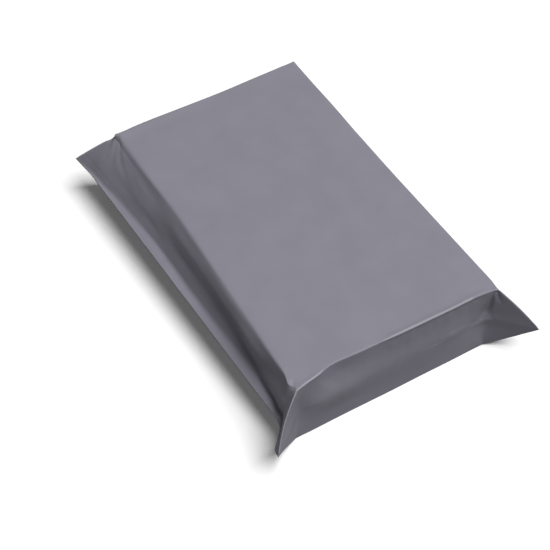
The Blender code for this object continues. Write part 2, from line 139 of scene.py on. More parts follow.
# The top face's edges between their corners: inward shift in millimetres, at places along the edge, from
# -1 to 1
SIDE_EDGE_AT = (-1.0, -0.978, -0.955, -0.9, -0.75, -0.6, -0.1, 0.25, 0.6, 1.0)
LEFT_EDGE_IN = (0.0, 0.5, -2.2, -0.5, 0.0, 0.7, 1.5, 2.4, 0.4, 0.0)
RIGHT_EDGE_IN = (0.0, -0.2, -0.4, -0.6, -0.2, 0.2, 1.2, 1.0, 0.7, 0.0)
NEAR_EDGE_AT = (-1.0, -0.94, -0.75, -0.63, -0.55, -0.46, -0.1, 0.5, 0.92, 1.0)
NEAR_EDGE_IN = (0.0, 1.3, 4.0, 6.4, 6.2, 5.6, 4.3, 2.8, 1.4, 0.0)
FAR_EDGE_AT = (-1.0, 0.0, 1.0)
FAR_EDGE_IN = (0.0, 0.4, 0.0)
# How fast the near and far edges' shift fades from the edge over the face
EDGE_IN_FADE = 3

# How far the end walls swell beyond a flat wall at their middle fold, in millimetres, at places across,
# from -1 to 1
END_SWELL_AT = (-1.0, -0.86, -0.6, -0.3, 0.3, 0.8, 1.0)
NEAR_SWELL = (0.0, 1.6, 3.2, 1.8, 0.8, 0.6, 0.0)
FAR_SWELL = (0.0, 0.6, 1.2, 1.5, 1.3, 0.8, 0.0)
# How late in a wall's depth its swell comes
SWELL_LATE = 2.2
# Share of the near edge's inward shift that the wall under it keeps until late in its depth
INSET_LATE = 0.25

# How the upper film comes down a side wall, at stations along it in metres: its lean out from the vertical
# in degrees, at film depths in millimetres under the top edge, then the depth at which the flared seam
# begins and its lean
LEAN_DEPTHS = (0.0, 2.0, 5.0, 9.0, 14.0, 20.0, 26.0, 31.0)
# Even steps in which a wall's lean is followed down to the seam
LEAN_STEPS = 168
Station = namedtuple("Station", "leans flare_depth flare_lean")
LEFT_WALL = {
    -0.143: Station((50, 34, 26, 24, 25, 20, -6, -12), 36.6, 76),
    -0.139: Station((20, 12, 14, 20, 25, 21, -4, -12), 35.8, 78),
    -0.128: Station((34, 18, 14, 18, 23, 24, 0, -8), 34.4, 82),
    -0.114: Station((34, 22, 22, 17, 10, 20, 2, 8), 34.2, 81),
    -0.100: Station((38, 28, 30, 27, 8, -8, -8, 26), 33.5, 80),
    -0.060: Station((50, 39, 31, 16, -1, -4, 15, 32), 35.3, 74),
    -0.020: Station((36, 26, 25, 23, 5, 6, 22, 26), 35.9, 74),
    0.015: Station((44, 34, 28, 33, 18, 8, 30, 28), 35.1, 78),
    0.045: Station((49, 42, 37, 39, 30, 31, 32, 36), 34.0, 78),
    0.075: Station((38, 28, 30, 39, 35, 33, 26, 35), 35.9, 72),
    0.105: Station((48, 37, 32, 39, 40, 31, 34, 33), 37.2, 74),
    0.130: Station((48, 30, 28, 35, 25, 28, 26, 22), 39.8, 76),
    0.143: Station((42, 28, 20, 27, 27, 22, 18, 10), 40.2, 60),
}
RIGHT_WALL = {
    -0.143: Station((62, 42, 30, 24, 20, 16, 14, 18), 37.0, 52),
    -0.095: Station((64, 48, 34, 22, 10, 6, 18, 30), 36.0, 66),
    -0.040: Station((70, 50, 36, 26, 12, 4, 14, 32), 34.0, 62),
    0.020: Station((66, 44, 30, 26, 24, 16, 10, 22), 35.0, 58),
    0.080: Station((68, 50, 38, 24, 8, 2, 16, 34), 35.0, 66),
    0.143: Station((62, 42, 30, 24, 22, 18, 14, 18), 37.0, 52),
}
# Millimetres of film over which the wall turns into the flared seam, before and after the flare's depth
FLARE_TURN = 1.2

# How far the side seams wave up from a straight line between their shoulders, in millimetres
SEAM_WAVE_AT = (-1.0, -0.55, -0.1, 0.4, 1.0)
SEAM_WAVE = {LEFT: (0.0, 0.0, 0.0, 0.0, 0.0), RIGHT: (0.0, -1.6, 1.2, -1.1, 0.0)}

# The side seam: two films welded face to face for the last stretch before the edge, and how far apart
# they are where that stretch begins
WELD_WIDTH = 0.008
WELD_GAP = 0.0006

# The lower film between the weld and the bottom edge: how far it runs on in the weld's direction, as a
# share of the weld, and how far it bulges out over the bottom edge and rises, as shares of its height
LOWER_RUN_ON = 0.9
LOWER_BULGE = 0.12
LOWER_RISE = 0.55

# The closure flap, stuck down across the underside of the far end: how far it reaches, its thickness, and
# how far from its edge the underside's film has lifted by that, and has come down again
FLAP_REACH = 0.010
FLAP_STEP = 0.00035
FLAP_EDGE = 0.0006
FLAP_FADE = 0.025


# A crease in the film: places it runs through, in film millimetres across and along, its half width at
# its start and end, its height outwards (a valley is negative), and over which share of its length it
# rises and falls away
Crease = namedtuple("Crease", "run width height rise fall")
UPPER_CREASES = (
    # Fan from the far left corner, down the long wall and into the ear
    Crease([(-88.2, 144.6), (-93.3, 136.0), (-100.5, 126.0), (-103.5, 117.0), (-107.0, 105.0),
            (-110.0, 90.0)], (1.2, 2.6), -0.72, 0.03, 1.0),
    Crease([(-89.0, 145.2), (-94.0, 141.0), (-99.0, 137.0), (-109.0, 133.0), (-118.0, 128.0)],
           (0.9, 2.4), -0.40, 0.05, 0.7),
    Crease([(-88.8, 146.4), (-92.5, 146.4), (-97.0, 144.2), (-102.0, 140.8), (-108.0, 137.0)],
           (0.9, 2.0), 0.40, 0.06, 0.8),
    Crease([(-92.5, 154.0), (-95.5, 151.5), (-99.5, 149.0)], (2.2, 2.6), -0.70, 0.3, 0.5),
    Crease([(-89.5, 144.0), (-92.4, 134.0), (-92.6, 121.0), (-92.4, 103.0), (-92.0, 75.0)],
           (0.9, 1.3), -0.22, 0.05, 0.6),
    Crease([(-96.0, 113.0), (-97.0, 98.0), (-100.0, 80.0)], (1.6, 2.4), 0.22, 0.4, 0.5),
    Crease([(-112.0, 82.0), (-113.0, 60.0), (-114.5, 38.0)], (2.0, 2.6), -0.22, 0.4, 0.5),
    # Fan from the near right corner, down the short wall
    Crease([(86.9, -146.6), (85.6, -151.5), (87.2, -160.5), (86.4, -166.7), (82.2, -173.6),
            (76.0, -176.8)], (0.7, 1.7), -0.90, 0.03, 0.25),
    Crease([(88.2, -147.2), (90.2, -153.0), (93.6, -158.0), (96.0, -163.0)], (0.6, 1.3), -0.80, 0.03, 0.7),
    Crease([(87.6, -148.0), (87.6, -153.0), (87.4, -160.0)], (0.6, 1.5), 0.35, 0.1, 0.6),
    # Pinched near short edge: its lip at the left, its lip from the middle to the right, and a bead on each
    Crease([(-86.0, -145.0), (-64.0, -145.0)], (1.6, 1.6), 0.50, 0.15, 0.15),
    Crease([(-16.0, -144.8), (20.0, -144.8), (84.0, -145.0)], (1.6, 1.6), 0.75, 0.15, 0.10),
    Crease([(-14.0, -145.2), (25.0, -145.2), (68.0, -145.2)], (0.5, 0.5), 0.28, 0.12, 0.12),
    Crease([(-86.0, -145.4), (-78.0, -145.2), (-65.0, -145.0)], (0.6, 0.7), 0.35, 0.2, 0.12),
    # Near left corner: the notch that parts the end of the long edge from the corner
    Crease([(-81.5, -137.4), (-83.0, -138.3), (-85.1, -139.4), (-88.4, -141.4), (-91.0, -143.0)],
           (0.8, 1.5), -0.85, 0.3, 0.3),
    # Wrinkles that hang from the short edge
    Crease([(-5.0, -147.5), (-3.5, -156.0), (-1.0, -163.0)], (0.8, 1.8), 0.43, 0.2, 0.7),
    Crease([(6.0, -147.5), (6.5, -154.0), (7.0, -162.0)], (0.8, 1.6), 0.38, 0.2, 0.7),
    Crease([(12.5, -147.5), (13.0, -155.0), (13.0, -166.0)], (0.8, 1.8), 0.49, 0.2, 0.7),
    Crease([(20.0, -147.5), (19.5, -156.0), (18.5, -164.0)], (0.8, 1.7), 0.41, 0.2, 0.7),
    Crease([(27.5, -147.5), (27.0, -156.0), (27.5, -167.0)], (0.8, 2.0), 0.49, 0.2, 0.7),
    Crease([(36.0, -147.5), (36.5, -154.0), (38.0, -162.0)], (0.8, 1.8), 0.38, 0.2, 0.7),
    Crease([(46.0, -147.5), (46.5, -156.0), (49.0, -165.0)], (0.9, 2.0), 0.41, 0.2, 0.7),
    Crease([(58.0, -147.5), (58.5, -153.0), (60.0, -161.0)], (0.9, 1.8), 0.32, 0.2, 0.7),
    Crease([(70.0, -148.5), (71.0, -156.0), (71.5, -167.0)], (1.2, 2.2), 0.41, 0.2, 0.7),
    # Drape of the film over the left part of the short wall
    Crease([(-72.0, -150.0), (-66.0, -160.0), (-58.0, -170.0), (-50.0, -176.0)],
           (1.6, 2.6), 0.28, 0.3, 0.4),
    Crease([(-56.0, -150.0), (-51.0, -160.0), (-44.0, -172.0)], (1.6, 2.6), 0.24, 0.3, 0.5),
    # Fans and folds that the photograph's view does not reach, finished like the others
    Crease([(88.5, -144.0), (92.0, -138.0), (96.5, -128.0), (103.0, -108.0)],
           (0.8, 2.4), -0.45, 0.05, 0.75),
    Crease([(88.8, -144.6), (95.0, -141.5), (104.0, -139.0), (114.0, -137.0)],
           (0.8, 2.2), -0.35, 0.05, 0.7),
    Crease([(88.5, 144.0), (91.5, 137.0), (95.0, 124.0), (99.0, 104.0)], (0.8, 2.4), -0.50, 0.05, 0.75),
    Crease([(89.0, 144.8), (95.0, 141.0), (103.0, 137.5), (115.0, 132.0)], (0.8, 2.2), -0.40, 0.05, 0.7),
    Crease([(90.0, 118.0), (90.4, 80.0), (90.2, 30.0)], (1.0, 1.4), -0.22, 0.3, 0.4),
    Crease([(96.0, 60.0), (101.0, 20.0), (99.0, -30.0), (95.0, -70.0)], (2.4, 3.0), -0.25, 0.3, 0.3),
    Crease([(86.8, 147.0), (84.4, 153.0), (82.0, 161.0), (79.0, 172.0)], (0.7, 1.9), -0.70, 0.04, 0.55),
    Crease([(-86.2, 147.0), (-83.5, 152.0), (-80.5, 160.0), (-78.0, 171.0)], (0.7, 1.9), -0.75, 0.04, 0.55),
    Crease([(-84.8, 148.0), (-80.0, 152.0), (-73.0, 157.0)], (0.7, 1.6), 0.30, 0.1, 0.6),
    # Lip of the far short edge, and the folds down the wall beyond it
    Crease([(-92.0, 145.5), (-60.0, 145.5), (-25.0, 145.5), (25.0, 145.5)], (4.0, 4.0), 1.50, 0.02, 0.75),
    Crease([(-48.0, 148.0), (-46.0, 156.0), (-43.0, 168.0)], (1.5, 2.4), 0.18, 0.2, 0.6),
    Crease([(-22.0, 148.0), (-23.0, 157.0), (-25.0, 166.0)], (1.3, 2.2), 0.16, 0.2, 0.6),
    Crease([(3.0, 148.0), (3.0, 155.0), (4.5, 167.0)], (1.4, 2.3), 0.18, 0.2, 0.6),
    Crease([(31.0, 148.0), (29.0, 156.0), (26.0, 165.0)], (1.3, 2.2), 0.15, 0.2, 0.6),
    Crease([(55.0, 148.0), (57.0, 157.0), (60.0, 168.0)], (1.5, 2.4), 0.18, 0.2, 0.6),
)
# Creases along and across the middle fold of the end walls, the same on both panels
FOLD_CREASES = (
    Crease([(87.0, -177.0), (79.0, -177.0), (66.0, -177.0)], (1.8, 2.0), -0.60, 0.3, 0.5),
    Crease([(36.0, -177.0), (52.0, -175.6), (68.0, -177.0)], (2.2, 2.2), 0.45, 0.35, 0.35),
    Crease([(-80.0, 177.0), (0.0, 177.0), (80.0, 177.0)], (1.1, 1.1), 0.14, 0.2, 0.2),
)
# The sharp pinched crest of each ear, from the face's corner to the tip: height by corner
CREST_HEIGHT = {(LEFT, FAR): 0.25, (RIGHT, FAR): 0.30, (LEFT, NEAR): 0.55, (RIGHT, NEAR): 0.30}
CREST_HALF_WIDTH = 0.6
CREST_RISE = 0.08
CREST_FALL = 0.10

# The root of each ear, where the film passes softly out of the end wall: how softly by corner, how far
# beside its line, how far inwards from the face's corner that line starts, how far from the ear's ridge
# the film stays firm, and how many times it is smoothed
ROOT_SOFTNESS = {(LEFT, FAR): 0.6, (RIGHT, FAR): 0.6, (LEFT, NEAR): 0.6, (RIGHT, NEAR): 0.12}
ROOT_WIDTH = 0.006
ROOT_STEP = 0.002
RIDGE_WIDTH = 0.005
ROOT_PASSES = 45

# Edges and folds over which the film is drawn softly: the panels they lie on, their ends on the film, how
# far beside them, and how many times they are smoothed
SoftEdge = namedtuple("SoftEdge", "panels start end width passes")
SOFT_EDGES = (
    SoftEdge((UPPER,), (-0.053, -HALF_LENGTH), (-0.024, -HALF_LENGTH), 0.008, 8),
    SoftEdge((UPPER,), (-0.0865, -0.122), (-0.0865, 0.138), 0.004, 24),
    SoftEdge((UPPER,), (0.0865, -0.125), (0.0865, 0.130), 0.005, 36),
    SoftEdge((LOWER,), (0.0850, -0.162), (0.0775, -FOLD_AT), 0.006, 60),
    SoftEdge((UPPER, LOWER), (0.080, -FOLD_AT), (0.060, -FOLD_AT), 0.004, 40),
    SoftEdge((UPPER, LOWER), (0.080, -FOLD_AT), (0.112, -FOLD_AT), 0.005, 60),
)
EDGE_SOFTNESS = 0.5
# All film is then smoothed a little, and less along the crisp stretch of the near short edge
FILM_SOFTNESS = 0.5
FILM_PASSES = 3
CRISP_EDGE = ((-0.010, -HALF_LENGTH), (0.066, -HALF_LENGTH))
CRISP_WIDTH = 0.002
CRISP_SHARE = 0.8

# Slack of the film, in millimetres: swells on the faces, folds down the side and end walls, the stretch
# over which one passes into the other, how far beside an ear's crest the film stays firm, ripples on the
# weld and the groove beside it, and how far apart the two panels lie in the noise that shapes it all
SLACK_HEIGHT = 0.35
SLACK_LENGTH = 46.0
WALL_FOLD_HEIGHT = {LEFT: 0.25, RIGHT: 0.60}
END_FOLD_HEIGHT = {NEAR: 0.20, FAR: 0.50}
WALL_FOLD_WIDTH = 7.0
WALL_FOLD_LENGTH = 48.0
SLACK_CHANGE = 8.0
CREST_FIRM_WIDTH = 7.0
RIPPLE_HEIGHT = 0.12
RIPPLE_WIDTH = 30.0
RIPPLE_LENGTH = 9.0
GROOVE_DEPTH = 0.10
GROOVE_WIDTH = 0.6
PANELS_APART = 50.0

# Folds that are painted paler along the pinched short edges and the ears' crests: a painted highlight,
# partly film turned paler by stretching, with how far beside them, in film millimetres
CREST_WHITENING_AND_HIGHLIGHT_WIDTH = 0.9
WHITENING_AND_HIGHLIGHT_EDGES = (
    ((-90.0, -145.6), (-64.0, -145.2), 0.9),
    ((-12.0, -145.4), (66.0, -145.4), 0.7),
)


def nearest_on(across, along, start, end):
    """How far film places lie from a line, and at which share of its length they are nearest to it."""
    start, step = np.array(start), np.array(end) - start
    share = ((across - start[0]) * step[0] + (along - start[1]) * step[1]) / step.dot(step)
    share = np.clip(share, 0.0, 1.0)
    return np.hypot(across - start[0] - share * step[0], along - start[1] - share * step[1]), share


def near_line(across, along, start, end, width):
    """1 on a line in the film, falling away to 0 beyond its width."""
    away, _ = nearest_on(across, along, start, end)
    return np.exp(-((away / width) ** 2))


def crease_height(crease, across, along):
    """Height that a crease gives the film at film places given in millimetres."""
    run = np.array(crease.run)
    lengths = np.hypot(*np.diff(run, axis=0).T)
    reached = np.concatenate([[0.0], np.cumsum(lengths)])
    nearest = np.full(len(across), np.inf)
    share = np.zeros(len(across))
    for k, length in enumerate(lengths):
        away, passed = nearest_on(across, along, run[k], run[k + 1])
        closer = away < nearest
        nearest[closer] = away[closer]
        share[closer] = (reached[k] + passed[closer] * length) / reached[-1]
    width = lerp(crease.width[0], crease.width[1], share)
    strength = ease(share / crease.rise) * ease((1.0 - share) / crease.fall)
    return crease.height * strength * np.exp(-0.5 * (nearest / width) ** 2)


def smooth_curve(at, places, values):
    """A smooth curve through values given at places, read at the given places."""
    places, values = np.asarray(places, float), np.asarray(values, float)
    if values.ndim == 1:
        values = values[:, None]
    slopes = np.gradient(values, places, axis=0)
    at = np.clip(np.atleast_1d(at), places[0], places[-1])
    k = np.clip(np.searchsorted(places, at, side="right") - 1, 0, len(places) - 2)
    width = (places[k + 1] - places[k])[:, None]
    u = (at - places[k])[:, None] / width
    start, end = values[k], values[k + 1]
    rise_1, rise_2 = slopes[k] * width, slopes[k + 1] * width
    return (
        start * (1 + 2 * u) * (1 - u) ** 2
        + rise_1 * u * (1 - u) ** 2
        + end * u**2 * (3 - 2 * u)
        + rise_2 * u**2 * (u - 1)
    )


def curve_mm(at, places, values):
    """Lengths given in millimetres at places, read off a smooth curve through them in metres."""
    return smooth_curve(at, places, values)[:, 0] * MM


def ease(share):
    """A share from 0 to 1 that leaves 0 and reaches 1 softly."""
    share = np.clip(share, 0.0, 1.0)
    return share * share * (3.0 - 2.0 * share)


def lerp(start, end, share):
    return start + (end - start) * share


def bezier(start, handle_1, handle_2, end, share):
    """Points at shares of the way along a curve that two handles draw out."""
    share = np.asarray(share)[..., None]
    rest = 1.0 - share
    return (
        start * rest**3
        + handle_1 * (3.0 * rest**2 * share)
        + handle_2 * (3.0 * rest * share**2)
        + end * share**3
    )


def border_shares():
    """Shares of the border film from the seam, 0, to the face's edge, 1: closer together at both."""
    k = np.arange(BORDER_CELLS + 1) / BORDER_CELLS
    return k - BORDER_EASING * np.sin(2.0 * math.pi * k) / (2.0 * math.pi)


def face_places(half_face):
    """Places across a face, from -half_face to half_face, whose spacing grows from the edges inwards."""
    steps, reach, cell = [0.0], 0.0, FACE_CELL_FIRST
    while reach + cell < half_face:
        reach += cell
        steps.append(reach)
        cell = min(cell * FACE_CELL_GROWTH, FACE_CELL_LARGEST)
    inner = np.array(steps) / (reach + cell) * half_face
    left = inner - half_face
    return np.concatenate([left, [0.0], -left[::-1]])


Lines = namedtuple("Lines", "film face")


def film_lines(half_face, border_film):
    """Grid lines in one direction: film distance from the middle, and place on the face, from -1 to 1."""
    shares = border_shares()[:-1]
    face = face_places(half_face)
    outer = half_face + border_film * (1.0 - shares)
    ones = np.ones(len(shares))
    return Lines(
        film=np.concatenate([-outer, face, outer[::-1]]),
        face=np.concatenate([-ones, face / half_face, ones]),
    )


def face_corner(panel, side, end):
    return CORNERS[side, end].top if panel == UPPER else CORNERS[side, end].base


def face_point(panel, across, along):
    """Points of the flat face, for places from -1 to 1 between its edges."""
    u, v = (across + 1.0)[:, None] / 2.0, (along + 1.0)[:, None] / 2.0
    near = lerp(face_corner(panel, LEFT, NEAR), face_corner(panel, RIGHT, NEAR), u)
    far = lerp(face_corner(panel, LEFT, FAR), face_corner(panel, RIGHT, FAR), u)
    point = lerp(near, far, v)
    if panel == UPPER:
        left_in = curve_mm(along, SIDE_EDGE_AT, LEFT_EDGE_IN)
        right_in = curve_mm(along, SIDE_EDGE_AT, RIGHT_EDGE_IN)
        near_in = curve_mm(across, NEAR_EDGE_AT, NEAR_EDGE_IN)
        far_in = curve_mm(across, FAR_EDGE_AT, FAR_EDGE_IN)
        point[:, 0] += left_in * (1.0 - u[:, 0]) - right_in * u[:, 0]
        point[:, 1] += near_in * (1.0 - v[:, 0]) ** EDGE_IN_FADE - far_in * v[:, 0] ** EDGE_IN_FADE
    return point


def seam_point(side, along):
    """A point of the side seam, for a place from -1 to 1 between its shoulders."""
    near, far = CORNERS[side, NEAR].shoulder, CORNERS[side, FAR].shoulder
    wave = curve_mm(along, SEAM_WAVE_AT, SEAM_WAVE[side])[0]
    return lerp(near, far, (along + 1.0) / 2.0) + wave * UP


def running_sum(slope, step):
    """How far a slope has led, at each of the even steps at which it is given."""
    return np.concatenate([[0.0], np.cumsum((slope[1:] + slope[:-1]) / 2 * step)])


def lean_profile(edge, seam, station, depths):
    """Film from the top edge to the seam, following its lean at each depth and ending on the seam."""
    flare = station.flare_depth
    turns = np.array([*LEAN_DEPTHS, flare - FLARE_TURN, flare + FLARE_TURN, SIDE_FILM / MM]) * MM
    leans = [*station.leans, station.leans[-1], station.flare_lean, station.flare_lean]
    fine = np.linspace(0.0, SIDE_FILM, LEAN_STEPS + 1)
    lean = np.radians(np.interp(fine, turns, leans))
    step = fine[1] - fine[0]
    offset, drop = running_sum(np.sin(lean), step), running_sum(np.cos(lean), step)
    outward = np.array([seam[0] - edge[0], seam[1] - edge[1], 0.0])
    reach = np.linalg.norm(outward)
    share = depths / SIDE_FILM
    out = np.interp(depths, fine, offset) + share * (reach - offset[-1])
    down = np.interp(depths, fine, drop) + share * ((edge[2] - seam[2]) - drop[-1])
    return edge + outward / reach * out[:, None] - UP * down[:, None]


def wall_station(side, along):
    """How a side wall comes down at any place along it, in metres from the middle."""
    wall = LEFT_WALL if side == LEFT else RIGHT_WALL
    places = sorted(wall)
    rows = [(*wall[y].leans, wall[y].flare_depth, wall[y].flare_lean) for y in places]
    *leans, flare_depth, flare_lean = smooth_curve(along, places, rows)[0]
    return Station(leans, flare_depth, flare_lean)


def lower_wall(side, edge, upper, depths, station):
    """Under the seam: welded flat against the upper film, then down and in to the bottom edge."""
    welded = max(SIDE_FILM - WELD_WIDTH, (station.flare_depth + FLARE_TURN) * MM)
    gap = WELD_GAP * np.clip((SIDE_FILM - depths) / (SIDE_FILM - welded), 0.0, 1.0)
    points = upper - UP * gap[:, None]
    start = np.array([np.interp(welded, depths[::-1], points[::-1, k]) for k in range(3)])
    inward = start - np.array([np.interp(SIDE_FILM, depths[::-1], points[::-1, k]) for k in range(3)])
    free = depths < welded
    handle_1 = start + inward * LOWER_RUN_ON
    handle_2 = edge + np.array([side * LOWER_BULGE, 0.0, LOWER_RISE]) * (start[2] - edge[2])
    points[free] = bezier(start, handle_1, handle_2, edge, 1.0 - depths[free] / welded)
    return points


def side_row(panel, side, along, upper_edge, lower_edge, shares):
    """One row of side wall film, from the seam to the face's edge."""
    depths = SIDE_FILM * (1.0 - shares)
    station = wall_station(side, upper_edge[1])
    upper = lean_profile(upper_edge, seam_point(side, along), station, depths)
    if panel == UPPER:
        return upper
    return lower_wall(side, lower_edge, upper, depths, station)


def ridge_curve(panel, side, end, shares):
    """A point of the ear's ridge, from its tip (share 0) to the face's corner (share 1). Its handles are
    pulled by 4/3 of the bow that it has half way."""
    corner = CORNERS[side, end]
    start, finish = corner.tip, face_corner(panel, side, end)
    pull = corner.bow * np.array([1.0, 1.0, panel]) * (4.0 / 3.0)
    handle_1, handle_2 = lerp(start, finish, 1 / 3) + pull, lerp(start, finish, 2 / 3) + pull
    return bezier(start, handle_1, handle_2, finish, shares)


def root_film(side, end, depth):
    """Film distance from the middle at which the end wall passes into the ear, at a share of its depth."""
    return side * (HALF_WIDTH - CORNERS[side, end].root_inset * depth**ROOT_TURN)


def end_row(panel, end, film, depth):
    """One row of the end wall's film, at a share of the way from the face's edge to the middle fold."""
    roots = [root_film(side, end, depth) for side in (LEFT, RIGHT)]
    across = lerp(-1.0, 1.0, np.clip((film - roots[0]) / (roots[1] - roots[0]), 0.0, 1.0))
    upper = face_point(UPPER, across, np.full(len(film), float(end)))
    lower = face_point(LOWER, across, np.full(len(film), float(end)))
    row = lerp(upper, lower, 0.5 * depth) if panel == UPPER else lerp(lower, upper, 0.5 * depth)
    middle = lerp(CORNERS[LEFT, end].root, CORNERS[RIGHT, end].root, (across[:, None] + 1.0) / 2.0)
    straight = lerp(upper, lower, 0.5)
    swell = curve_mm(across, END_SWELL_AT, NEAR_SWELL if end == NEAR else FAR_SWELL)
    row[:, 0] += (middle[:, 0] - straight[:, 0]) * depth
    drawn = (middle[:, 1] - straight[:, 1]) * np.abs(across) ** ROOT_DRAW
    late = ease(depth) ** SWELL_LATE
    row[:, 1] += drawn * ease(depth) + end * swell * late
    if panel == UPPER and end == NEAR:
        inset = curve_mm(across, NEAR_EDGE_AT, NEAR_EDGE_IN)
        row[:, 1] += INSET_LATE * inset * (depth - late)
    return row


def fold_panel(panel, columns, rows):
    """Where each crossing of the panel's grid lines comes to lie when it is folded round the pack."""
    shares = border_shares()
    n = BORDER_CELLS
    last_i, last_j = len(columns.film) - 1, len(rows.film) - 1
    across, along = np.meshgrid(columns.face, rows.face, indexing="ij")
    placed = face_point(panel, across.ravel(), along.ravel()).reshape(*across.shape, 3)
    for side, border in ((LEFT, slice(0, n + 1)), (RIGHT, slice(last_i, last_i - n - 1, -1))):
        for j in range(n, last_j - n + 1):
            ends = np.array([float(side)]), np.array([rows.face[j]])
            upper_edge, lower_edge = face_point(UPPER, *ends)[0], face_point(LOWER, *ends)[0]
            placed[border, j] = side_row(panel, side, rows.face[j], upper_edge, lower_edge, shares)
    for end in (NEAR, FAR):
        for k in range(n):
            j = k if end == NEAR else last_j - k
            depth = 1.0 - shares[k]
            placed[:, j] = end_row(panel, end, columns.film, depth)
            for side in (LEFT, RIGHT):
                root = root_film(side, end, depth)
                ridge = side * (HALF_WIDTH + SIDE_FILM * depth)
                turned = np.clip((columns.film - root) / (ridge - root), 0.0, 1.0)[:, None]
                crest = ridge_curve(panel, side, end, shares[k])
                placed[:, j] = lerp(placed[:, j], crest, turned)
        for side in (LEFT, RIGHT):
            fold_ear_side(placed, panel, side, end, shares)
    return placed


def fold_ear_side(placed, panel, side, end, shares):
    """The ear's film beyond its ridge, fanned from the face's corner out to the side seam."""
    n = BORDER_CELLS
    i_of = (lambda k: k) if side == LEFT else (lambda k: placed.shape[0] - 1 - k)
    j_of = (lambda k: k) if end == NEAR else (lambda k: placed.shape[1] - 1 - k)
    bows = (0.0, *CORNERS[side, end].weld_bow, 0.0)
    for a in range(n):
        crest = ridge_curve(panel, side, end, shares[a])
        wall = placed[i_of(a), j_of(n)].copy()
        for b in range(a + 1, n):
            turned = 1.0 - (1.0 - shares[b]) / (1.0 - shares[a])
            point = lerp(crest, wall, turned)
            point[0] += curve_mm(turned, WELD_BOW_AT, bows)[0] * (1.0 - shares[a]) ** WELD_BOW_FADE
            placed[i_of(a), j_of(b)] = point


def select_none():
    bpy.ops.object.select_all(action="DESELECT")


def web_place(panel, across, along):
    """Place on the film's web, cut open along the side welds and laid flat with the underside's panel
    beyond the fold of the near end, as shares of WEB_SPAN."""
    from_fold = along + FOLD_AT
    return np.column_stack([across, panel * from_fold]) / WEB_SPAN + 0.5


def add_panel(name, placed, panel, columns, rows):
    """A flat sheet with one cell for each cell of the film grid, folded into place."""
    count_i, count_j = placed.shape[:2]
    select_none()
    bpy.ops.mesh.primitive_grid_add(x_subdivisions=count_i - 1, y_subdivisions=count_j - 1, size=2.0)
    sheet = bpy.context.active_object
    sheet.name = name
    mesh = sheet.data
    flat = np.empty(len(mesh.vertices) * 3)
    mesh.vertices.foreach_get("co", flat)
    flat = flat.reshape(-1, 3)
    i = np.rint((flat[:, 0] + 1.0) / 2.0 * (count_i - 1)).astype(int)
    j = np.rint((flat[:, 1] + 1.0) / 2.0 * (count_j - 1)).astype(int)
    mesh.vertices.foreach_set("co", placed[i, j].ravel())
    store(mesh, "panel", np.full(len(i), panel))
    store(mesh, "film_across", columns.film[i])
    store(mesh, "film_along", rows.film[j])
    corner_of = np.empty(len(mesh.loops), np.int32)
    mesh.loops.foreach_get("vertex_index", corner_of)
    web = mesh.uv_layers[0]
    web.name = FILM_WEB
    web.data.foreach_set("uv", web_place(panel, columns.film[i], rows.film[j])[corner_of].ravel())
    return sheet, i, j


def cut_ridges(mesh, i, j, count_i, count_j):
    """Cuts the cells under each ear's ridge along the ridge."""
    work = bmesh.new()
    work.from_mesh(mesh)
    work.verts.ensure_lookup_table()
    index = {(int(a), int(b)): k for k, (a, b) in enumerate(zip(i, j))}
    for start_i, step_i in ((0, 1), (count_i - 1, -1)):
        for start_j, step_j in ((0, 1), (count_j - 1, -1)):
            for k in range(BORDER_CELLS):
                here = work.verts[index[start_i + k * step_i, start_j + k * step_j]]
                there = work.verts[index[start_i + (k + 1) * step_i, start_j + (k + 1) * step_j]]
                (cell,) = set(here.link_faces) & set(there.link_faces)
                bmesh.utils.face_split(cell, here, there)
    work.to_mesh(mesh)
    work.free()


def store(mesh, name, values):
    layer = mesh.attributes.new(name, "FLOAT", "POINT")
    layer.data.foreach_set("value", np.asarray(values, np.float32))


def read(mesh, name):
    values = np.empty(len(mesh.vertices), np.float32)
    mesh.attributes[name].data.foreach_get("value", values)
    return values.astype(float)


def coordinates(mesh):
    values = np.empty(len(mesh.vertices) * 3)
    mesh.vertices.foreach_get("co", values)
    return values.reshape(-1, 3)


def normals(mesh):
    values = np.empty(len(mesh.vertices) * 3, np.float32)
    mesh.vertex_normals.foreach_get("vector", values)
    return values.reshape(-1, 3).astype(float)


def edge_pairs(mesh):
    values = np.empty(len(mesh.edges) * 2, np.int32)
    mesh.edges.foreach_get("vertices", values)
    return values.reshape(-1, 2)


def relax(points, pairs, weight, passes):
    """Moves each point towards the middle of its neighbours, by its weight, a number of times."""
    count = np.bincount(pairs.ravel(), minlength=len(points))[:, None]
    for _ in range(passes):
        total = np.zeros_like(points)
        for axis in range(3):
            total[:, axis] = np.bincount(pairs[:, 0], points[pairs[:, 1], axis], len(points))
            total[:, axis] += np.bincount(pairs[:, 1], points[pairs[:, 0], axis], len(points))
        points = points + weight[:, None] * (total / count - points)
    return points


def make_bag():
    """The upper and the lower panel, folded round the pack and joined along the seams and end folds."""
    columns = film_lines(HALF_WIDTH, SIDE_FILM)
    rows = film_lines(HALF_LENGTH, END_FILM)
    sheets = []
    for panel, name in ((UPPER, "upper_panel"), (LOWER, "lower_panel")):
        placed = fold_panel(panel, columns, rows)
        sheet, i, j = add_panel(name, placed, panel, columns, rows)
        cut_ridges(sheet.data, i, j, len(columns.film), len(rows.film))
        sheets.append(sheet)
    select_none()
    for sheet in sheets:
        sheet.select_set(True)
    bpy.context.view_layer.objects.active = sheets[0]
    bpy.ops.object.join()
    bag = bpy.context.active_object
    bag.name = bag.data.name = "film_bag"
    bpy.ops.object.mode_set(mode="EDIT")
    bpy.ops.mesh.select_all(action="SELECT")
    bpy.ops.mesh.remove_doubles(threshold=SAME_PLACE)
    bpy.ops.mesh.normals_make_consistent(inside=False)
    bpy.ops.object.mode_set(mode="OBJECT")
    return bag


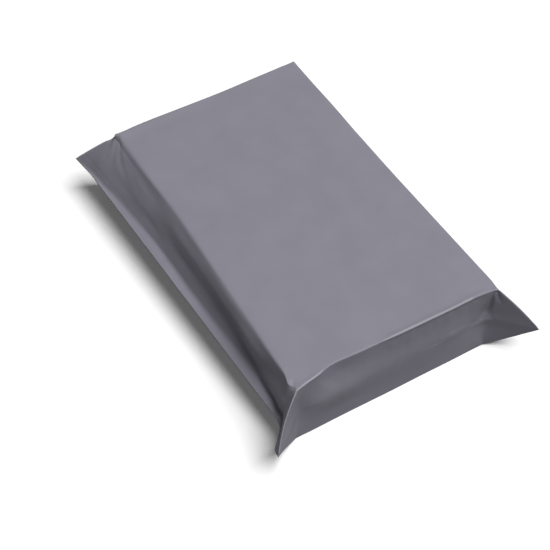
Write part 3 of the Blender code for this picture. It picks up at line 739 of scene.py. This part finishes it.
def ear_line(side, end):
    """Where an ear's ridge starts and ends in the film: at the face's corner and at its tip."""
    return (side * HALF_WIDTH, end * HALF_LENGTH), (side * SEAM_AT, end * FOLD_AT)


def soft_roots(across, along):
    """Where the end walls pass softly into the ears, short of the ears' ridges."""
    soft = np.zeros(len(across))
    for (side, end), softness in ROOT_SOFTNESS.items():
        corner, tip = ear_line(side, end)
        start = corner[0] - side * ROOT_STEP, corner[1] + end * ROOT_WIDTH
        on_root = near_line(across, along, start, (root_film(side, end, 1.0), tip[1]), ROOT_WIDTH)
        firm = near_line(across, along, corner, tip, RIDGE_WIDTH)
        soft = np.maximum(soft, softness * on_root * (1.0 - firm))
    return soft


def whitening_and_highlight_along_folds(across, along):
    """1 on the pinched folds, where a highlight is painted paler, partly film turned paler by stretching.
    """
    whitening_and_highlight = np.zeros(len(across))
    ridges = [(*crest.run, CREST_WHITENING_AND_HIGHLIGHT_WIDTH) for crest in crests()]
    for start, end, width in (*ridges, *WHITENING_AND_HIGHLIGHT_EDGES):
        whitening_and_highlight = np.maximum(whitening_and_highlight, near_line(across, along, start, end, width))
    return whitening_and_highlight


def noise_at(places):
    """Smooth noise between about -0.5 and 0.5, with one swell to each unit of length."""
    return np.array([noise.noise(Vector(place)) for place in places])


def film_slack(across, along, panel):
    """Height of the film's own slack, in millimetres: wide swells on the faces, folds along the side walls
    and down the end walls, and small ripples and a groove along the welds."""
    beside = np.abs(across) - HALF_WIDTH / MM
    beyond = np.abs(along) - HALF_LENGTH / MM
    on_side, on_end = ease(beside / SLACK_CHANGE), ease(beyond / SLACK_CHANGE)
    web = np.column_stack([across, along, panel * PANELS_APART])
    swell = SLACK_HEIGHT * noise_at(web / SLACK_LENGTH) * (1.0 - np.maximum(on_side, on_end))
    lengthwise = np.array([WALL_FOLD_WIDTH, WALL_FOLD_LENGTH, WALL_FOLD_LENGTH])
    side_height = np.where(across < 0.0, WALL_FOLD_HEIGHT[LEFT], WALL_FOLD_HEIGHT[RIGHT])
    end_height = np.where(along < 0.0, END_FOLD_HEIGHT[NEAR], END_FOLD_HEIGHT[FAR])
    folds = noise_at(web / lengthwise)
    side_folds = side_height * folds * on_side * (1.0 - on_end)
    end_folds = end_height * folds * on_end * (1.0 - on_side)
    to_seam, weld = SIDE_FILM / MM - beside, WELD_WIDTH / MM
    side_folds *= ease((to_seam - weld) / weld)
    welded = ease(1.0 - to_seam / weld)
    ripples = RIPPLE_HEIGHT * noise_at(web * [1 / RIPPLE_WIDTH, 1 / RIPPLE_LENGTH, 0.0]) * welded * panel
    groove = -GROOVE_DEPTH * np.exp(-(((to_seam - weld) / GROOVE_WIDTH) ** 2))
    slack = swell + side_folds + end_folds
    for crest in crests():
        slack *= 1.0 - near_line(across, along, *crest.run, CREST_FIRM_WIDTH)
    return slack + ripples + groove


def crests():
    """The line of each ear's crest, with its height, as creases."""
    for (side, end), height in CREST_HEIGHT.items():
        run = np.array(ear_line(side, end)) / MM
        yield Crease(run, (CREST_HALF_WIDTH, CREST_HALF_WIDTH), height, CREST_RISE, CREST_FALL)


def raise_creases(mesh, points, across, along, panel):
    """Moves the film outwards by the height that its slack and its creases give it."""
    across, along = across / MM, along / MM
    height = film_slack(across, along, panel)
    upper = panel > 0.0
    for crease in (*UPPER_CREASES, *crests()):
        height[upper] += crease_height(crease, across[upper], along[upper])
    for crease in FOLD_CREASES:
        height += crease_height(crease, across, along)
    return points + normals(mesh) * height[:, None] * MM


def lift_beside_flap(points, across, along, panel):
    """The underside's film lifts by the flap's thickness where it comes out from under the flap's edge."""
    edge = HALF_LENGTH - FLAP_REACH
    bare = ease((edge - along) / FLAP_EDGE) * (1.0 - ease((edge - along) / FLAP_FADE))
    under = (panel < 0.0) & (np.abs(across) < HALF_WIDTH)
    points[:, 2] += np.where(under, FLAP_STEP * bare, 0.0)
    return points


def set_points(mesh, points):
    mesh.vertices.foreach_set("co", points.ravel())
    mesh.update()


def shape_film(bag):
    """Softens the folded film, raises its slack and creases, and notes where the folds get their painted
    highlight.
    """
    mesh = bag.data
    points, pairs = coordinates(mesh), edge_pairs(mesh)
    across, along, panel = (read(mesh, name) for name in ("film_across", "film_along", "panel"))
    loose = np.abs(across) < SEAM_AT - SAME_PLACE
    points = relax(points, pairs, soft_roots(across, along) * loose, ROOT_PASSES)
    for edge in SOFT_EDGES:
        on_edge = near_line(across, along, edge.start, edge.end, edge.width) * np.isin(panel, edge.panels)
        points = relax(points, pairs, EDGE_SOFTNESS * on_edge * loose, edge.passes)
    crisp = CRISP_SHARE * near_line(across, along, *CRISP_EDGE, CRISP_WIDTH)
    points = relax(points, pairs, FILM_SOFTNESS * (1.0 - crisp) * loose, FILM_PASSES)
    set_points(mesh, points)
    points = raise_creases(mesh, points, across, along, panel)
    points[:, 2] = np.maximum(points[:, 2], 0.0)
    points = lift_beside_flap(points, across, along, panel)
    # Mask of the folds that get a painted highlight, partly film turned paler by stretching
    store(mesh, "fold_whitening_and_highlight", whitening_and_highlight_along_folds(across / MM, along / MM))
    set_points(mesh, points)
    mesh.shade_smooth()


# Film finish, with lengths in millimetres on the film
FILM_COLOR = (0.235, 0.227, 0.268)
# Paler colour on the pinched folds: a painted highlight, partly film turned paler by stretching
WHITENING_AND_HIGHLIGHT_COLOR = (0.330, 0.320, 0.365)
COLOR_SPREAD = 0.035
PATCH_LENGTH, PATCH_DETAIL = 30.0, 4.0
SPECULAR = 0.14
ROUGHNESS_RANGE = (0.34, 0.44)
SHEEN_WIDTH, SHEEN_LENGTH, SHEEN_DETAIL = 7.0, 14.0, 3.0
DIMPLE_LENGTH, DIMPLE_HEIGHT = 8.0, 0.030
GRAIN_LENGTH, GRAIN_HEIGHT = 0.7, 0.004
DRAW_WIDTH, DRAW_LENGTH, DRAW_HEIGHT = 1.1, 60.0, 0.006
# Values between which most of the noise lies
NOISE_LOW, NOISE_HIGH = 0.3, 0.7


def add_node(tree, kind, **values):
    """A node with its settings by name, and its inputs' values by names that start with a capital."""
    node = tree.nodes.new(kind)
    for name, value in values.items():
        if name[0].isupper():
            node.inputs[name.replace("_", " ")].default_value = value
        else:
            setattr(node, name, value)
    return node


def film_noise(tree, web, across, along, detail=2.0):
    """Noise whose features have the given sizes across and along the film."""
    sized = add_node(tree, "ShaderNodeMapping", Scale=(1.0 / across, 1.0 / along, 1.0))
    noise_node = add_node(tree, "ShaderNodeTexNoise", Scale=1.0, Detail=detail)
    tree.links.new(web, sized.inputs["Vector"])
    tree.links.new(sized.outputs["Vector"], noise_node.inputs["Vector"])
    return noise_node.outputs["Fac"]


def ranged(tree, value, low, high):
    """Noise spread over a range."""
    spread = add_node(
        tree, "ShaderNodeMapRange", From_Min=NOISE_LOW, From_Max=NOISE_HIGH, To_Min=low, To_Max=high,
    )
    tree.links.new(value, spread.inputs["Value"])
    return spread.outputs["Result"]


def computed(tree, operation, first, second):
    """The outcome of a math operation on two numbers, the second a socket or a value."""
    node = add_node(tree, "ShaderNodeMath", operation=operation)
    tree.links.new(first, node.inputs[0])
    if isinstance(second, float):
        node.inputs[1].default_value = second
    else:
        tree.links.new(second, node.inputs[1])
    return node.outputs[0]


def mixed(tree, share, first, second):
    """A blend of two colours, each a socket or a value."""
    mix = add_node(tree, "ShaderNodeMix", data_type="RGBA")
    tree.links.new(share, mix.inputs[0])
    for socket, color in ((mix.inputs[6], first), (mix.inputs[7], second)):
        if isinstance(color, tuple):
            socket.default_value = (*color, 1.0)
        else:
            tree.links.new(color, socket)
    return mix.outputs[2]


def film_material():
    """Satin polyethylene: faint patches from its thickness, soft sheen, shallow dimples, draw lines along
    the web, a fine grain, and a painted highlight on the pinched folds, partly film turned paler by
    stretching."""
    film = bpy.data.materials.new("grey_film")
    film.use_nodes = True
    tree = film.node_tree
    shader = tree.nodes["Principled BSDF"]
    web_map = add_node(tree, "ShaderNodeUVMap", uv_map=FILM_WEB)
    in_mm = add_node(tree, "ShaderNodeMapping", Scale=(WEB_SPAN / MM, WEB_SPAN / MM, 1.0))
    tree.links.new(web_map.outputs["UV"], in_mm.inputs["Vector"])
    web = in_mm.outputs["Vector"]
    fold_whitening_and_highlight = add_node(tree, "ShaderNodeAttribute", attribute_name="fold_whitening_and_highlight").outputs["Fac"]

    darker = tuple(part * (1.0 - COLOR_SPREAD) for part in FILM_COLOR)
    paler = tuple(part * (1.0 + COLOR_SPREAD) for part in FILM_COLOR)
    patches = ranged(tree, film_noise(tree, web, PATCH_LENGTH, PATCH_LENGTH, PATCH_DETAIL), 0.0, 1.0)
    # The pinched folds get the paler colour as a painted highlight, partly stretch-whitened film
    color = mixed(tree, fold_whitening_and_highlight, mixed(tree, patches, darker, paler), WHITENING_AND_HIGHLIGHT_COLOR)
    tree.links.new(color, shader.inputs["Base Color"])

    sheen = film_noise(tree, web, SHEEN_WIDTH, SHEEN_LENGTH, SHEEN_DETAIL)
    tree.links.new(ranged(tree, sheen, *ROUGHNESS_RANGE), shader.inputs["Roughness"])
    shader.inputs["Specular IOR Level"].default_value = SPECULAR

    dimples = ranged(tree, film_noise(tree, web, DIMPLE_LENGTH, DIMPLE_LENGTH), 0.0, DIMPLE_HEIGHT)
    grain = ranged(tree, film_noise(tree, web, GRAIN_LENGTH, GRAIN_LENGTH), 0.0, GRAIN_HEIGHT)
    drawn = ranged(tree, film_noise(tree, web, DRAW_WIDTH, DRAW_LENGTH), 0.0, DRAW_HEIGHT)
    height = computed(tree, "ADD", computed(tree, "ADD", dimples, grain), drawn)
    bump = add_node(tree, "ShaderNodeBump", Strength=1.0, Distance=MM)
    tree.links.new(height, bump.inputs["Height"])
    tree.links.new(bump.outputs["Normal"], shader.inputs["Normal"])
    return film


# The photograph's view: a long lens that looks down across the near left corner, and its distance from
# the middle of the top face
VIEW_TURN = math.radians(-30.11)
VIEW_HEIGHT = math.radians(52.47)
VIEW_DISTANCE = 0.7824
VIEW_SHIFT = (-0.0154, -0.0551)
VIEW_LENS, VIEW_SENSOR = 64.46, 36.0
VIEW_CLIP = 0.01

# One large soft lamp nearly overhead
KEY_DIRECTION = (0.24, -0.24, 0.94)
KEY_DISTANCE = 6.0
KEY_SIZE = 4.1
KEY_POWER = 412.0

# A dim even room, and how much of the white that the camera sees of it shows in the film's gloss
WHITE = (1.0, 1.0, 1.0, 1.0)
ROOM_STRENGTH = 0.07
ROOM_IN_GLOSS = 0.4

# A pale floor just under the bag: the grey of the light that it throws back, how much of what the camera
# sees of it shows in the film's gloss, and how it is lifted, from near the bag to white further out
FLOOR_SIZE = 8.0
FLOOR_DEPTH = 0.0002
FLOOR_COLOR = (0.97, 0.97, 0.97)
FLOOR_BOUNCE = (0.28, 0.28, 0.29)
FLOOR_IN_GLOSS = 0.1
FLOOR_LIFT = 0.075
FLOOR_WHITE_FROM = 0.45
FLOOR_WHITE_AT = 1.3


def place_camera():
    back = Vector((
        math.sin(VIEW_TURN) * math.cos(VIEW_HEIGHT),
        -math.cos(VIEW_TURN) * math.cos(VIEW_HEIGHT),
        math.sin(VIEW_HEIGHT),
    ))
    right = Vector((math.cos(VIEW_TURN), math.sin(VIEW_TURN), 0.0))
    up = back.cross(right)
    place = right * VIEW_SHIFT[0] + up * VIEW_SHIFT[1] + back * VIEW_DISTANCE + Vector((0, 0, THICKNESS))
    lens = bpy.data.cameras.new("view")
    lens.lens = VIEW_LENS
    lens.sensor_width = VIEW_SENSOR
    lens.clip_start = VIEW_CLIP
    camera = bpy.data.objects.new("view", lens)
    bpy.context.scene.collection.objects.link(camera)
    camera.matrix_world = Matrix((right, up, back)).transposed().to_4x4()
    camera.location = place
    bpy.context.scene.camera = camera


def hang_key_lamp():
    light = bpy.data.lights.new("key", "AREA")
    light.shape = "DISK"
    light.size = KEY_SIZE
    light.energy = KEY_POWER
    lamp = bpy.data.objects.new("key", light)
    bpy.context.scene.collection.objects.link(lamp)
    lamp.location = Vector(KEY_DIRECTION).normalized() * KEY_DISTANCE
    lamp.rotation_euler = Vector(KEY_DIRECTION).to_track_quat("Z", "Y").to_euler()


def seen_directly(tree, in_gloss):
    """1 for camera and transmission rays, in_gloss for glossy rays, and 0 for the light that diffuse
    surfaces gather."""
    path = add_node(tree, "ShaderNodeLightPath")
    seen = computed(tree, "MAXIMUM", path.outputs["Is Camera Ray"], path.outputs["Is Transmission Ray"])
    glossy = computed(tree, "MULTIPLY", path.outputs["Is Glossy Ray"], in_gloss)
    return computed(tree, "MAXIMUM", seen, glossy)


def mix_by_ray(tree, gathered, shown, output, in_gloss):
    """One shader for the light that diffuse surfaces gather, and another for what is seen directly."""
    mix = add_node(tree, "ShaderNodeMixShader")
    tree.links.new(seen_directly(tree, in_gloss), mix.inputs["Fac"])
    tree.links.new(gathered.outputs[0], mix.inputs[1])
    tree.links.new(shown.outputs[0], mix.inputs[2])
    tree.links.new(mix.outputs[0], output.inputs["Surface"])


def light_room():
    """A dim even room whose background is plain white."""
    world = bpy.data.worlds.new("soft_room")
    world.use_nodes = True
    tree = world.node_tree
    gathered = tree.nodes["Background"]
    gathered.inputs["Color"].default_value = WHITE
    gathered.inputs["Strength"].default_value = ROOM_STRENGTH
    shown = add_node(tree, "ShaderNodeBackground", Color=WHITE, Strength=1.0)
    mix_by_ray(tree, gathered, shown, tree.nodes["World Output"], ROOM_IN_GLOSS)
    bpy.context.scene.world = world


def floor_material():
    """Pale floor: nearly white where it is seen, and a softer grey in the light it throws back."""
    pale = bpy.data.materials.new("pale_floor")
    pale.use_nodes = True
    tree = pale.node_tree
    shown = tree.nodes["Principled BSDF"]
    shown.inputs["Base Color"].default_value = (*FLOOR_COLOR, 1.0)
    shown.inputs["Roughness"].default_value = 1.0
    shown.inputs["Specular IOR Level"].default_value = 0.0
    shown.inputs["Emission Color"].default_value = WHITE
    place = add_node(tree, "ShaderNodeTexCoord")
    away = add_node(tree, "ShaderNodeVectorMath", operation="LENGTH")
    lift = add_node(
        tree, "ShaderNodeMapRange", interpolation_type="SMOOTHSTEP",
        From_Min=FLOOR_WHITE_FROM, From_Max=FLOOR_WHITE_AT, To_Min=FLOOR_LIFT, To_Max=1.0,
    )
    tree.links.new(place.outputs["Object"], away.inputs[0])
    tree.links.new(away.outputs["Value"], lift.inputs["Value"])
    tree.links.new(lift.outputs["Result"], shown.inputs["Emission Strength"])
    gathered = add_node(tree, "ShaderNodeBsdfDiffuse", Color=(*FLOOR_BOUNCE, 1.0))
    mix_by_ray(tree, gathered, shown, tree.nodes["Material Output"], FLOOR_IN_GLOSS)
    return pale


def make_floor():
    select_none()
    bpy.ops.mesh.primitive_plane_add(size=FLOOR_SIZE, location=(0.0, 0.0, -FLOOR_DEPTH))
    floor = bpy.context.active_object
    floor.name = "floor"
    floor.data.materials.append(floor_material())


place_camera()
make_floor()
hang_key_lamp()
light_room()
bpy.context.scene.view_settings.view_transform = "Standard"

bag = make_bag()
shape_film(bag)
bag.data.materials.clear()
bag.data.materials.append(film_material())
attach(bag, "root")
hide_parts("mailer_bag")
